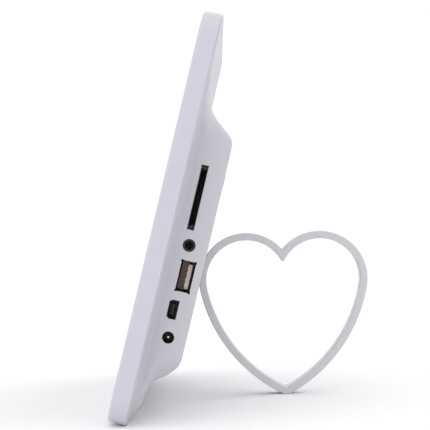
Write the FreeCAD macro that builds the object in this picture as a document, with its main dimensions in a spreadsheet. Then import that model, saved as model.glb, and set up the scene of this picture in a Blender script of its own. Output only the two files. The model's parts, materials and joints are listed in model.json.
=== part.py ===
"""Free-standing digital photo frame with a plug-in heart-shaped stand.

The leaning frame is modelled upright in its own axes and then tilted back:
    X  across the width, ports on the +X side
    Y  depth, 0 at the front face, growing towards the back
    Z  up along the frame, 0 at its lower edge
The finished part stands on Z = 0, with its origin under the middle of its bounding box.
All sizes are in millimetres and live in the spreadsheet "dim".
"""
import FreeCAD, Part
import math
import os

import Sketcher

SIZES = {
    # rim and front wall
    "frame_width": 215.0,
    "frame_height": 180.0,
    "corner_radius": 12.5,
    "rim_depth": 8.0,
    "rim_draft": 3.9,
    "rim_wall": 2.0,
    "front_wall": 2.0,
    "front_round": 1.2,
    "rear_round": 0.35,
    "window_width": 163.0,
    "window_height": 122.6,
    "window_bevel": 1.2,
    "lean_angle": 15.0,
    "rest_land_drop": 0.3,
    # display module
    "panel_width": 173.0,
    "panel_height": 131.0,
    "panel_thickness": 1.3,
    "module_width": 183.0,
    "module_height": 141.0,
    "module_depth": 3.5,
    "module_gap": 0.1,
    "clip_thickness": 0.5,
    "clip_length": 11.0,
    "clip_height": 10.0,
    "clip_level": 40.0,
    # rear cover
    "cover_step": 0.45,
    "cover_wall": 1.8,
    "shoulder_rise": 0.6,
    "shoulder_ease": 0.3,
    "lip_height": 1.6,
    "lip_wall": 1.2,
    "hook_length": 9.0,
    "hook_reach": 0.6,
    "hook_side": 62.0,
    "hook_end": 48.0,
    "fit_gap": 0.15,
    "cover_depth": 24.8,
    "back_left": 74.8,
    "back_top": 125.5,
    "back_bottom": 33.0,
    "back_corner": 10.0,
    "chin_edge": 1.5,
    "slope_angle": 50.0,
    "brow_round": 7.0,
    "foot_round": 20.0,
    # port side of the hump
    "facet_setback": 9.0,
    "facet_corner": 2.0,
    "facet_corner_most": 12.0,
    "facet_corner_growth": 0.85,
    "facet_round": 1.5,
    "facet_foot": 2.6,
    # circuit board and ports
    "board_front": 12.4,
    "board_thickness": 1.6,
    "board_left": 41.0,
    "board_low": 36.5,
    "board_high": 110.0,
    "port_gap": 0.2,
    "card_level": 101.6,
    "card_width": 28.1,
    "card_opening": 3.2,
    "audio_level": 81.0,
    "audio_depth": 16.7,
    "audio_bore": 1.8,
    "audio_hole": 2.75,
    "usb_level": 67.8,
    "usb_depth": 18.3,
    "usb_width": 13.4,
    "usb_height": 6.3,
    "mini_level": 53.0,
    "mini_depth": 16.2,
    "mini_width": 8.3,
    "mini_height": 4.2,
    "mini_taper": 0.8,
    "mini_taper_depth": 1.3,
    "power_level": 41.0,
    "power_depth": 17.0,
    "power_hole": 2.6,
    "power_pin": 0.65,
    # screws
    "screw_hole": 1.05,
    "screw_shank": 0.95,
    # keys and loudspeakers
    "key_length": 8.6,
    "key_height": 4.4,
    "key_pitch": 13.0,
    "key_level": 113.0,
    "key_gap": 0.2,
    "key_stand": 0.15,
    "key_travel": 0.35,
    "speaker_radius": 13.0,
    "speaker_depth": 4.6,
    "speaker_side": 27.0,
    "speaker_level": 52.0,
    "grille_hole": 0.9,
    "grille_pitch": 3.2,
    "vent_start": 48.0,
    "vent_pitch": 4.0,
    "vent_length": 14.0,
    # heart stand
    "lobe_radius": 23.2,
    "lobe_offset": 18.0,
    "limb_radius": 74.0,
    "limb_start": 11.6,
    "band": 3.55,
    "band_depth": 10.0,
    "corner_ease": 0.9,
    "band_round": 0.5,
    "tip_flat": 3.0,
    "stand_sink": 1.3,
    "plug_height": 20.0,
    "plug_depth": 6.0,
    "plug_gap": 0.2,
}

WELD = 0.6          # how far a joined feature runs into the wall it grows from
THROUGH = 1.0       # how far a cut runs past the wall it opens

doc = FreeCAD.newDocument("photo_frame")
sheet = doc.addObject("Spreadsheet::Sheet", "dim")
for row, (alias, number) in enumerate(SIZES.items(), start=1):
    sheet.set(f"A{row}", alias.replace("_", " "))
    sheet.set(f"B{row}", str(number))
    sheet.setAlias(f"B{row}", alias)
doc.recompute()

# Levels and walls that several pieces share, as expressions on the sheet
FACET = "(dim.frame_width / 2 - dim.facet_setback)"
SLOPE = "dim.slope_angle"
PANEL_BACK = "(dim.rim_depth + dim.shoulder_rise)"
PANEL_FRONT = f"({PANEL_BACK} - dim.cover_wall)"
COVER_INSIDE = "(dim.cover_depth - dim.cover_wall)"
MODULE_FRONT = "(dim.front_wall + dim.module_gap)"
MODULE_BACK = f"({MODULE_FRONT} + dim.module_depth)"
CLIP_BACK = f"({MODULE_BACK} + dim.clip_thickness)"
BOARD_BACK = "(dim.board_front + dim.board_thickness)"
MID_HEIGHT = "(dim.frame_height / 2)"
LIP_OUTSIDE = "(dim.rim_wall + dim.fit_gap)"
PORT_FACE = f"({FACET} - dim.cover_wall - dim.port_gap)"
KEY_BACK = "(dim.cover_depth + dim.key_stand)"
FLANGE_BACK = f"({COVER_INSIDE} - 0.05)"
FLANGE_FRONT = f"({FLANGE_BACK} - 0.8)"
SWITCH_TOP = f"({FLANGE_FRONT} - dim.key_travel - 0.1)"
KEY_BOARD_BACK = f"({SWITCH_TOP} - 2.6)"
KEY_BOARD_FRONT = f"({KEY_BOARD_BACK} - 1.0)"
SPEAKER_BACK = f"({COVER_INSIDE} - 0.3)"
SPEAKER_FRONT = f"({SPEAKER_BACK} - dim.speaker_depth)"

# Shares of the slope's angle, or of its straight length, at which the hump's sections lie
BROW_STEPS = (0, 0.2, 0.4, 0.6, 0.8, 1)
SLOPE_STEPS = (0.333, 0.667)
FOOT_STEPS = (1, 0.84, 0.76, 0.68, 0.56, 0.44, 0.30, 0.16, 0)

# How far, section by section, the hump's lower side bulges into a chin and its upper side runs on
# up the panel, beyond the even profile
CHIN_BULGE = (0, 0, 0, 0.3, 0.5, 0.7, 1.3, 1.37, 1.43, 2.6, 5.4, 9.0, 10.0, 9.8, 8.9, 7.6, 5.3)
UPPER_RUN = (0, 0, 0, 0, 0, 0, 0, 0, 0, 0.2, 0.6, 1.3, 2.8, 4.7, 7.2, 10.6, 13.3)

KEY_HOLE_X = "(dim.key_length / 2 + dim.key_gap)"
KEY_HOLE_Z = "(dim.key_height / 2 + dim.key_gap)"
VENT_SLOTS = 6
GRILLE_RINGS = 3

KEY_NAMES = ("menu", "previous", "up", "down", "next", "enter", "power")
TOWARDS_BACK = FreeCAD.Rotation(FreeCAD.Vector(1, 0, 0), -90)
TOWARDS_PORTS = FreeCAD.Rotation(FreeCAD.Vector(0, 1, 0), 90)


def value(expression):
    """The number that an expression on the sheet stands for."""
    result = sheet.evalExpression(str(expression))
    return float(getattr(result, "Value", result))


# ---------------------------------------------------------------- placements

def heart_centre_height():
    """Height of the lobe centres above the heart's flat tip."""
    swing = math.radians(value("dim.limb_start"))
    reach = value("dim.limb_radius") - value("dim.lobe_radius")
    across = reach * math.cos(swing) - value("dim.lobe_offset")
    up = reach * math.sin(swing)
    at_flat = value("dim.tip_flat") / 2 + across
    return math.sqrt(value("dim.limb_radius") ** 2 - at_flat ** 2) - up


def rise():
    """Height of the frame's own origin above the table, so that its rest land lies on it."""
    lean = math.radians(value("dim.lean_angle"))
    return value("dim.rim_depth") * math.sin(lean) - value("dim.rest_land_drop")


def lobe_in_frame():
    """Depth and height, in the frame's own axes, of the centre of the lobe that plugs in."""
    lean = math.radians(value("dim.lean_angle"))
    depth = value("dim.cover_depth") - value("dim.stand_sink") + value("dim.lobe_radius")
    height = (heart_centre_height() - rise() + depth * math.sin(lean)) / math.cos(lean)
    return depth, height


def heart_axis():
    """Distance of the heart's upright axis behind the frame's own origin."""
    lean = math.radians(value("dim.lean_angle"))
    depth, height = lobe_in_frame()
    return depth * math.cos(lean) + height * math.sin(lean) + value("dim.lobe_offset")


def middle():
    """Half-way point, front to back, between the front lower edge and the heart's far lobe."""
    lean = math.radians(value("dim.lean_angle"))
    round_radius = value("dim.front_round")
    inset = value("dim.rim_depth") * math.tan(math.radians(value("dim.rim_draft")))
    front = (inset + round_radius) * math.sin(lean) + round_radius * (math.cos(lean) - 1)
    back = heart_axis() + value("dim.lobe_offset") + value("dim.lobe_radius")
    return (front + back) / 2


LEAN = FreeCAD.Placement(
    FreeCAD.Vector(0, -middle(), rise()),
    FreeCAD.Rotation(FreeCAD.Vector(1, 0, 0), -value("dim.lean_angle")),
)
UPRIGHT = FreeCAD.Placement(FreeCAD.Vector(0, heart_axis() - middle(), 0), FreeCAD.Rotation())
PLUG_LEVEL = lobe_in_frame()[1]


# ------------------------------------------------------------------- features

class Piece:
    """One physical piece: a PartDesign body, and the features added to it in order."""

    def __init__(self, name, placement=LEAN):
        self.body = doc.addObject("PartDesign::Body", name)
        self.body.Label = name
        self.body.AllowCompound = True
        self.body.Placement = placement
        self.count = 0

    def feature(self, kind, settings=None, bindings=None):
        """Add one feature, with fixed settings and with properties bound to the sheet."""
        self.count += 1
        made = self.body.newObject(kind, f"{self.body.Name}_{self.count}")
        for key, setting in (settings or {}).items():
            setattr(made, key, setting)
        for key, expression in (bindings or {}).items():
            made.setExpression(key, str(expression))
        return made

    def box(self, across, depth, up, cut=False):
        """A block between two X, two Y and two Z levels."""
        bindings = {}
        for side, letter, (low, high) in zip(("Length", "Width", "Height"), "xyz", (across, depth, up)):
            bindings[side] = f"({high}) - ({low})"
            bindings[f"Placement.Base.{letter}"] = low
        kind = "PartDesign::SubtractiveBox" if cut else "PartDesign::AdditiveBox"
        return self.feature(kind, bindings=bindings)

    def cylinder(self, at, radius, length, turn=TOWARDS_BACK, cut=False):
        """A round bar that starts at a point and runs towards the back or towards the ports."""
        kind = "PartDesign::SubtractiveCylinder" if cut else "PartDesign::AdditiveCylinder"
        bindings = {"Radius": radius, "Height": length}
        for letter, place in zip("xyz", at):
            bindings[f"Placement.Base.{letter}"] = place
        return self.feature(kind, {"Placement": FreeCAD.Placement(FreeCAD.Vector(), turn)}, bindings)

    def sketch(self, role, level):
        """An empty sketch on one of the body's origin planes, moved along X or along the depth."""
        plane = next(part for part in self.body.Origin.OriginFeatures if part.Role == role)
        settings = {"AttachmentSupport": [(plane, "")], "MapMode": "FlatFace"}
        offset = f"-({level})" if role == "XZ_Plane" else level
        return self.feature("Sketcher::SketchObject", settings, {"AttachmentOffset.Base.z": offset})

    def pad(self, sketch, length, towards_back=False, taper="0", both_ways=False):
        """Grow a sketch into material."""
        settings = {"Profile": sketch, "Reversed": towards_back, "Midplane": both_ways}
        self.feature("PartDesign::Pad", settings, {"Length": length, "TaperAngle": taper})
        sketch.Visibility = False

    def pocket(self, sketch, length, towards_front=False, taper="0"):
        """Cut a sketch away, and prove that the cut took some material."""
        doc.recompute()
        before = self.body.Shape.Volume
        settings = {"Profile": sketch, "Reversed": towards_front}
        self.feature("PartDesign::Pocket", settings, {"Length": length, "TaperAngle": taper})
        doc.recompute()
        if not self.body.Shape.Volume < before:
            raise RuntimeError(f"a pocket in {self.body.Name} cut nothing")

    def dress(self, kind, test, bindings, settings=None):
        """Fillet or chamfer the edges of the latest feature that pass a test."""
        doc.recompute()
        tip = self.body.Tip
        names = [f"Edge{i}" for i, edge in enumerate(tip.Shape.Edges, start=1) if test(edge)]
        if not names:
            raise RuntimeError(f"no edge found to dress in {self.body.Name}")
        return self.feature(kind, {"Base": (tip, names), **(settings or {})}, bindings)

    def fillet(self, radius, test):
        """Round the edges that pass a test."""
        return self.dress("PartDesign::Fillet", test, {"Radius": radius})


def span(middle_level, half):
    """The two levels that lie half a size each side of a middle."""
    return f"({middle_level}) - ({half})", f"({middle_level}) + ({half})"


def rounded_rectangle(sketch, half_width, half_height, radius, middle_level):
    """Draw a rounded rectangle, centred on the sketch's upright axis, and bind its sizes."""
    half_w, half_h, r = value(half_width), value(half_height), value(radius)
    centre = value(middle_level)
    corners = [(1, -1), (1, 1), (-1, 1), (-1, -1)]
    for index, (sx, sy) in enumerate(corners):
        hub = FreeCAD.Vector(sx * (half_w - r), centre + sy * (half_h - r), 0)
        start = math.radians(-90 + 90 * index)
        circle = Part.Circle(hub, FreeCAD.Vector(0, 0, 1), r)
        sketch.addGeometry(Part.ArcOfCircle(circle, start, start + math.pi / 2), False)
    for index in range(4):
        begin = sketch.Geometry[index].EndPoint
        end = sketch.Geometry[(index + 1) % 4].StartPoint
        sketch.addGeometry(Part.LineSegment(begin, end), False)
    for index in range(4):
        line = index + 4
        following = (index + 1) % 4
        sketch.addConstraint(Sketcher.Constraint("Tangent", index, 2, line, 1))
        sketch.addConstraint(Sketcher.Constraint("Tangent", line, 2, following, 1))
        upright = "Vertical" if index % 2 == 0 else "Horizontal"
        sketch.addConstraint(Sketcher.Constraint(upright, line))
    for index in range(3):
        sketch.addConstraint(Sketcher.Constraint("Equal", index, index + 1))
    bound = [
        ("Radius", (0,), radius),
        ("DistanceX", (-1, 1, 4, 1), half_width),
        ("DistanceX", (-1, 1, 6, 1), f"-({half_width})"),
        ("DistanceY", (-1, 1, 5, 1), f"({middle_level}) + ({half_height})"),
        ("DistanceY", (-1, 1, 7, 1), f"({middle_level}) - ({half_height})"),
    ]
    for kind, places, expression in bound:
        number = sketch.addConstraint(Sketcher.Constraint(kind, *places, value(expression)))
        sketch.setExpression(f"Constraints[{number}]", str(expression))
    return sketch


def outline(piece, level, inset, radius_inset=None):
    """A sketch of the frame's outline, moved in by an inset, at a depth."""
    sketch = piece.sketch("XZ_Plane", level)
    return rounded_rectangle(
        sketch,
        f"dim.frame_width / 2 - ({inset})",
        f"dim.frame_height / 2 - ({inset})",
        f"dim.corner_radius - ({radius_inset or inset})",
        MID_HEIGHT,
    )


def flat_at(level, axis, tolerance=0.02):
    """A test for edges that lie whole in one level of an axis."""
    def test(edge):
        box = edge.BoundBox
        low = getattr(box, f"{axis}Min")
        high = getattr(box, f"{axis}Max")
        return abs(low - level) < tolerance and abs(high - level) < tolerance
    return test


def cross_recess(piece, across, up, level, size=1.7, width=0.5, depth=0.5):
    """The cross-shaped driver recess in a screw's head, open towards the back."""
    for half_x, half_z in ((size, width), (width, size)):
        piece.box(
            span(across, half_x), (f"{level} - {depth}", f"{level} + 0.2"), span(up, half_z), cut=True
        )


# ---------------------------------------------------------------- shared places

def hook_places():
    """Each snap hook round the rim: side of the frame it is on, and its place along that side."""
    for sign in (-1, 1):
        for along in ("-dim.hook_side", "dim.hook_side"):
            yield "end", sign, along
        for along in ("-dim.hook_end", "dim.hook_end"):
            yield "side", sign, along


def hook_box(piece, place, depth, reach, ease, cut):
    """A snap hook on the cover's lip, or the recess for it in the rim."""
    where, sign, along = place
    half = f"dim.hook_length / 2 + {ease}"
    root = f"{LIP_OUTSIDE} + {WELD}"
    if where == "side":
        levels = (f"dim.frame_width / 2 - ({root})", f"dim.frame_width / 2 - {LIP_OUTSIDE} + {reach}")
        across = levels if sign > 0 else tuple(f"-({level})" for level in reversed(levels))
        piece.box(across, depth, span(f"{MID_HEIGHT} + ({along})", half), cut)
        return
    if sign > 0:
        up = (f"dim.frame_height - ({root})", f"dim.frame_height - {LIP_OUTSIDE} + {reach}")
    else:
        up = (f"{LIP_OUTSIDE} - ({reach})", root)
    piece.box(span(along, half), depth, up, cut)


def clip_bosses():
    """The four bosses beside the display module that its clips are screwed to."""
    for side in (-1, 1):
        across = f"{side} * (dim.module_width / 2 + 5)"
        for end in (-1, 1):
            yield side, across, f"{MID_HEIGHT} + {end} * dim.clip_level"


def board_screw_places():
    """The four screws that hold the main board to the rear cover."""
    yield "dim.board_left + 4", "dim.board_low + 4"
    yield "dim.board_left + 4", "dim.board_high - 4"
    yield "dim.board_left + 31", "dim.board_low + 4"
    yield "dim.board_left + 37", "dim.audio_level - 1"


def key_screw_places():
    """The two screws that hold the key board, beyond the first and last keys."""
    for side in (-1, 1):
        yield f"{side} * (3.5 * dim.key_pitch + 2)"


def key_places():
    """Each key's name and its place across the cover."""
    for index, name in enumerate(KEY_NAMES):
        yield name, f"{index - len(KEY_NAMES) // 2} * dim.key_pitch"


def speaker_places():
    """Side name and place across the cover of each loudspeaker."""
    yield "left", "-dim.speaker_side"
    yield "right", "dim.speaker_side"


# ------------------------------------------------------------------ front half

def make_front_bezel():
    """White rim with the picture window, screw bosses and a flat land to rest on."""
    piece = Piece("front_bezel")
    piece.pad(outline(piece, "dim.rim_depth", "0"), "dim.rim_depth", taper="-dim.rim_draft")
    doc.recompute()
    piece.fillet("dim.front_round", flat_at(0, "Y"))
    piece.fillet("dim.rear_round", flat_at(value("dim.rim_depth"), "Y"))
    cavity = outline(piece, "dim.rim_depth", "dim.rim_wall")
    piece.pocket(cavity, "dim.rim_depth - dim.front_wall", towards_front=True)
    window = (span("0", "dim.window_width / 2"), span(MID_HEIGHT, "dim.window_height / 2"))
    piece.box(window[0], (f"-{THROUGH}", f"dim.front_wall + {THROUGH}"), window[1], cut=True)
    at_front = flat_at(0, "Y")
    reach = value("dim.window_width / 2") + 0.1
    piece.dress(
        "PartDesign::Chamfer",
        lambda edge: at_front(edge) and max(abs(edge.BoundBox.XMin), abs(edge.BoundBox.XMax)) < reach,
        {"Size": "dim.window_bevel"},
    )
    hook_depth = ("dim.rim_depth - dim.lip_height - 0.1", "dim.rim_depth - dim.lip_height + 1.1")
    for place in hook_places():
        hook_box(piece, place, hook_depth, "dim.hook_reach + 0.2", "0.3", cut=True)
    for side, across, up in clip_bosses():
        piece.cylinder(
            (across, f"dim.front_wall - {WELD}", up), "2.6", f"{MODULE_BACK} - dim.front_wall + {WELD}"
        )
        piece.cylinder((across, "dim.front_wall + 0.4", up), "dim.screw_hole", "dim.rim_depth", cut=True)
    land = piece.feature(
        "PartDesign::SubtractiveBox", {}, {"Length": "dim.frame_width + 2", "Width": "40", "Height": "20"}
    )
    below = FreeCAD.Placement(
        FreeCAD.Vector(-value("dim.frame_width / 2") - 1, LEAN.Base.y - 20, -20), FreeCAD.Rotation()
    )
    land.Placement = LEAN.inverse().multiply(below)
    return piece


def make_display():
    """Glass panel, its steel-framed backlight module, the four clips and their screws."""
    glass = Piece("lcd_panel")
    panel_x = span("0", "dim.panel_width / 2")
    panel_z = span(MID_HEIGHT, "dim.panel_height / 2")
    glass.box(panel_x, (MODULE_FRONT, f"{MODULE_FRONT} + dim.panel_thickness"), panel_z)

    chassis = Piece("lcd_chassis")
    chassis.box(
        span("0", "dim.module_width / 2"),
        (MODULE_FRONT, MODULE_BACK),
        span(MID_HEIGHT, "dim.module_height / 2"),
    )
    chassis.box(
        panel_x, (f"{MODULE_FRONT} - {THROUGH}", f"{MODULE_FRONT} + dim.panel_thickness"), panel_z, cut=True
    )
    doc.recompute()
    chassis.fillet("1", lambda edge: flat_at(value(MODULE_BACK), "Y")(edge))

    clips = Piece("lcd_clips")
    screws = Piece("lcd_screws")
    for side, across, up in clip_bosses():
        half = "dim.clip_length / 2"
        clip_x = span(f"({across}) - {side} * 1.5", half)
        clips.box(clip_x, (MODULE_BACK, CLIP_BACK), span(up, "dim.clip_height / 2"))
        clips.cylinder((across, f"{MODULE_BACK} - {THROUGH}", up), "1.15", "4", cut=True)
        screws.cylinder((across, CLIP_BACK, up), "2", "0.6")
        screws.cylinder(
            (across, "dim.front_wall + 0.6", up), "dim.screw_shank", f"{CLIP_BACK} - dim.front_wall"
        )
    for side, across, up in clip_bosses():
        cross_recess(screws, across, up, f"({CLIP_BACK} + 0.6)", size=1.2, width=0.25, depth=0.3)
    return [glass, chassis, clips, screws]


# ------------------------------------------------------------------- rear cover

def hump_levels(wall):
    """Depth and spread of the hump's side profile: round brow, straight slope and hollow foot.

    With a wall, the same profile moved in by it. The spread is how far the side has moved out
    from the edge of the flat back. Each pair holds two expressions.
    """
    brow_hub = "(dim.cover_depth - dim.brow_round)"
    foot_hub = f"({PANEL_BACK} + dim.foot_round)"
    brow = f"(dim.brow_round - {wall})"
    foot = f"(dim.foot_round + {wall})"
    both = "(dim.brow_round + dim.foot_round)"
    straight = f"(dim.cover_depth - {PANEL_BACK} - {both} * (1 - cos({SLOPE})))"
    foot_spread = f"({both} * sin({SLOPE}) + {straight} / tan({SLOPE}))"
    pairs = []
    for part in BROW_STEPS:
        turn = f"({part} * {SLOPE})"
        pairs.append((f"{brow_hub} + {brow} * cos({turn})", f"{brow} * sin({turn})"))
    for part in SLOPE_STEPS:
        from_brow = f"({brow_hub} + {brow} * cos({SLOPE})) * {1 - part}"
        level = f"{from_brow} + ({foot_hub} - {foot} * cos({SLOPE})) * {part}"
        spread = f"{brow} * sin({SLOPE}) * {1 - part} + ({foot_spread} - {foot} * sin({SLOPE})) * {part}"
        pairs.append((level, spread))
    for part in FOOT_STEPS:
        turn = f"({part} * {SLOPE})"
        pairs.append((f"{foot_hub} - {foot} * cos({turn})", f"{foot_spread} - {foot} * sin({turn})"))
    return pairs


def hump_section(piece, depth, spread, bulge, run, wall):
    """One section of the hump: a rounded rectangle with two corner sizes."""
    level = value(depth)
    face = value(FACET) - wall
    round_back = value("dim.facet_round")
    into_round = level + wall - value("dim.cover_depth") + round_back
    if into_round > 0:
        face -= round_back - math.sqrt(max(0, round_back ** 2 - into_round ** 2))
    foot = value("dim.facet_foot")
    into_foot = value(PANEL_BACK) + foot - level - wall
    if into_foot > 0:
        face += foot - math.sqrt(max(0, foot ** 2 - into_foot ** 2))
    out = value(spread)
    edge = value(f"{LIP_OUTSIDE} + dim.lip_wall") + WELD if wall else value("dim.chin_edge")
    low = max(value("dim.back_bottom") - out - bulge, edge)
    high = value("dim.back_top") + out + run
    near = value("dim.facet_corner") + value("dim.facet_corner_growth") * out
    near = min(near, value("dim.facet_corner_most"))
    far = value("dim.back_corner") + out
    left = -value("dim.back_left") - out
    sketch = piece.sketch("XZ_Plane", depth)
    corners = [
        (face - near, low + near, near),
        (face - near, high - near, near),
        (left + far, high - far, far),
        (left + far, low + far, far),
    ]
    arcs = []
    for index, (across, up, radius) in enumerate(corners):
        start = math.radians(90 * index - 90)
        circle = Part.Circle(FreeCAD.Vector(across, up, 0), FreeCAD.Vector(0, 0, 1), radius)
        arcs.append(Part.ArcOfCircle(circle, start, start + math.pi / 2))
    for index in range(4):
        following = arcs[(index + 1) % 4]
        sketch.addGeometry(arcs[index], False)
        sketch.addGeometry(Part.LineSegment(arcs[index].EndPoint, following.StartPoint), False)
    return sketch


def hump_loft(piece, wall, cut):
    """Blend the hump's sections into one smooth body, or into the space inside it."""
    sketches = [
        hump_section(piece, depth, spread, bulge, run, wall)
        for (depth, spread), bulge, run in zip(hump_levels(wall), CHIN_BULGE, UPPER_RUN)
    ]
    kind = "PartDesign::SubtractiveLoft" if cut else "PartDesign::AdditiveLoft"
    piece.feature(kind, {"Profile": sketches[0], "Sections": sketches[1:], "Ruled": False, "Closed": False})


def make_rear_cover():
    """Rear cover: flat panel, smooth hump with its port facet, lip, hooks, bosses and openings."""
    piece = Piece("rear_cover")
    flange = outline(piece, "dim.rim_depth", "dim.cover_step")
    piece.pad(flange, "dim.shoulder_rise", towards_back=True)
    doc.recompute()
    piece.dress("PartDesign::Chamfer", flat_at(value(PANEL_BACK), "Y"), {"Size": "dim.shoulder_ease"})
    plate = outline(piece, PANEL_FRONT, f"{LIP_OUTSIDE} + 0.4")
    piece.pad(plate, f"dim.rim_depth - {PANEL_FRONT} + 0.2", towards_back=True)
    hump_loft(piece, 0, cut=False)
    add_lip(piece)
    hump_loft(piece, value("dim.cover_wall"), cut=True)
    add_cover_details(piece)
    cut_ports(piece)
    return piece


def add_lip(piece):
    """Lip that reaches into the rim, with snap hooks on its outside."""
    lip_front = "(dim.rim_depth - dim.lip_height)"
    lip = outline(piece, lip_front, LIP_OUTSIDE)
    piece.pad(lip, "dim.lip_height + 0.2", towards_back=True)
    lip_space = outline(piece, lip_front, f"{LIP_OUTSIDE} + dim.lip_wall")
    piece.pocket(lip_space, f"{PANEL_FRONT} - {lip_front}")
    for place in hook_places():
        hook_box(piece, place, (lip_front, f"{lip_front} + 1"), "dim.hook_reach", "0", cut=False)


def add_cover_details(piece):
    """Bosses, speaker collars, stand socket, key holes, grilles and vents."""
    for across, up in board_screw_places():
        piece.cylinder((across, BOARD_BACK, up), "2.4", f"{COVER_INSIDE} + {WELD} - {BOARD_BACK}")
        piece.cylinder((across, f"{BOARD_BACK} - {THROUGH}", up), "dim.screw_hole", "6.5", cut=True)
    for name, across in speaker_places():
        collar_front = f"({COVER_INSIDE} - 2.4)"
        collar = "dim.speaker_radius + 1.3"
        piece.cylinder((across, collar_front, "dim.speaker_level"), collar, f"2.4 + {WELD}")
        inner = "dim.speaker_radius + dim.fit_gap"
        piece.cylinder(
            (across, f"{collar_front} - {THROUGH}", "dim.speaker_level"),
            inner,
            f"2.4 + {THROUGH}",
            cut=True,
        )
    for across in key_screw_places():
        piece.cylinder(
            (across, KEY_BOARD_BACK, "dim.key_level"), "2.2", f"{COVER_INSIDE} + {WELD} - {KEY_BOARD_BACK}"
        )
        piece.cylinder((across, f"{KEY_BOARD_BACK} - {THROUGH}", "dim.key_level"), "0.95", "3.6", cut=True)
    add_stand_socket(piece)
    cut_back_openings(piece)


def cut_back_openings(piece):
    """Key holes, loudspeaker grilles and vent slots through the back of the hump."""
    sketch = piece.sketch("XZ_Plane", f"{COVER_INSIDE} - {THROUGH}")
    for name, across in key_places():
        add_rectangle(sketch, across, "dim.key_level", KEY_HOLE_X, KEY_HOLE_Z)
    for side in (-1, 1):
        for index in range(VENT_SLOTS):
            across = f"{side} * (dim.vent_start + {index} * dim.vent_pitch)"
            add_rectangle(sketch, across, "dim.speaker_level", "dim.vent_pitch / 4", "dim.vent_length / 2")
    for name, across in speaker_places():
        add_grille(sketch, value(across), value("dim.speaker_level"))
    piece.pocket(sketch, f"dim.cover_wall + {2 * THROUGH}")


def add_rectangle(sketch, across, up, half_x, half_z):
    """Four lines round a rectangular opening."""
    centre = FreeCAD.Vector(value(across), value(up), 0)
    half = FreeCAD.Vector(value(half_x), value(half_z), 0)
    corners = [
        centre + FreeCAD.Vector(sx * half.x, sy * half.y, 0)
        for sx, sy in ((-1, -1), (1, -1), (1, 1), (-1, 1))
    ]
    for index in range(4):
        sketch.addGeometry(Part.LineSegment(corners[index], corners[(index + 1) % 4]), False)


def add_grille(sketch, across, up):
    """Rings of small round holes, evenly spaced, in front of a loudspeaker."""
    pitch = value("dim.grille_pitch")
    for ring in range(GRILLE_RINGS + 1):
        holes = max(1, 6 * ring)
        for index in range(holes):
            angle = 2 * math.pi * index / holes
            centre = FreeCAD.Vector(
                across + ring * pitch * math.cos(angle), up + ring * pitch * math.sin(angle), 0
            )
            circle = Part.Circle(centre, FreeCAD.Vector(0, 0, 1), value("dim.grille_hole"))
            number = sketch.addGeometry(circle, False)
            bound = sketch.addConstraint(Sketcher.Constraint("Radius", number, value("dim.grille_hole")))
            sketch.setExpression(f"Constraints[{bound}]", "dim.grille_hole")


def add_stand_socket(piece):
    """Box on the inside of the cover that takes the heart stand's plug."""
    half_x = "dim.band_depth / 2 + dim.plug_gap"
    half_z = "dim.plug_height / 2 + dim.plug_gap"
    floor_back = "(dim.cover_depth - dim.plug_depth)"
    level = f"{PLUG_LEVEL:.6f}"
    piece.box(
        span("0", f"{half_x} + 1.6"), (f"{floor_back} - 1.6", COVER_INSIDE), span(level, f"{half_z} + 1.6")
    )
    piece.box(
        span("0", half_x), (floor_back, f"dim.cover_depth + {THROUGH}"), span(level, half_z), cut=True
    )


def cut_ports(piece):
    """Openings in the port block's flat facet, one for each connector."""
    start = f"({FACET} - dim.cover_wall - {THROUGH})"
    reach = (start, f"{FACET} + {THROUGH}")
    length = f"dim.cover_wall + {2 * THROUGH}"
    card_middle = f"({BOARD_BACK} + 1.7)"
    piece.box(
        reach,
        span(card_middle, "dim.card_opening / 2"),
        span("dim.card_level", "dim.card_width / 2"),
        cut=True,
    )
    piece.cylinder(
        (start, "dim.audio_depth", "dim.audio_level"), "dim.audio_hole", length, TOWARDS_PORTS, cut=True
    )
    usb_n = span("dim.usb_depth", "dim.usb_height / 2")
    usb_z = span("dim.usb_level", "dim.usb_width / 2")
    piece.box(reach, usb_n, usb_z, cut=True)
    for depth in span("dim.usb_depth", "dim.usb_height / 2 - 0.3"):
        for up in span("dim.usb_level", "dim.usb_width / 2 - 0.3"):
            piece.cylinder((start, depth, up), "0.6", length, TOWARDS_PORTS, cut=True)
    piece.pocket(mini_outline(piece, start, 0), length, towards_front=True)
    piece.cylinder(
        (start, "dim.power_depth", "dim.power_level"), "dim.power_hole", length, TOWARDS_PORTS, cut=True
    )


def mini_outline(piece, start, inset):
    """A sketch of the mini USB opening, narrower towards the front, moved in by an inset."""
    sketch = piece.sketch("YZ_Plane", start)
    depth, up = value("dim.mini_depth"), value("dim.mini_level")
    half_n = value("dim.mini_height / 2") - inset
    half_z = value("dim.mini_width / 2") - inset
    narrow = half_z - value("dim.mini_taper")
    waist = depth - value("dim.mini_height / 2") + value("dim.mini_taper_depth")
    right = [(depth + half_n, half_z), (waist, half_z), (depth - half_n, narrow)]
    left = [(n, -half) for n, half in reversed(right)]
    points = [FreeCAD.Vector(n, up + half, 0) for n, half in right + left]
    for point, following in zip(points, points[1:] + points[:1]):
        sketch.addGeometry(Part.LineSegment(point, following), False)
    return sketch


# ---------------------------------------------------------------- circuit board

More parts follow.
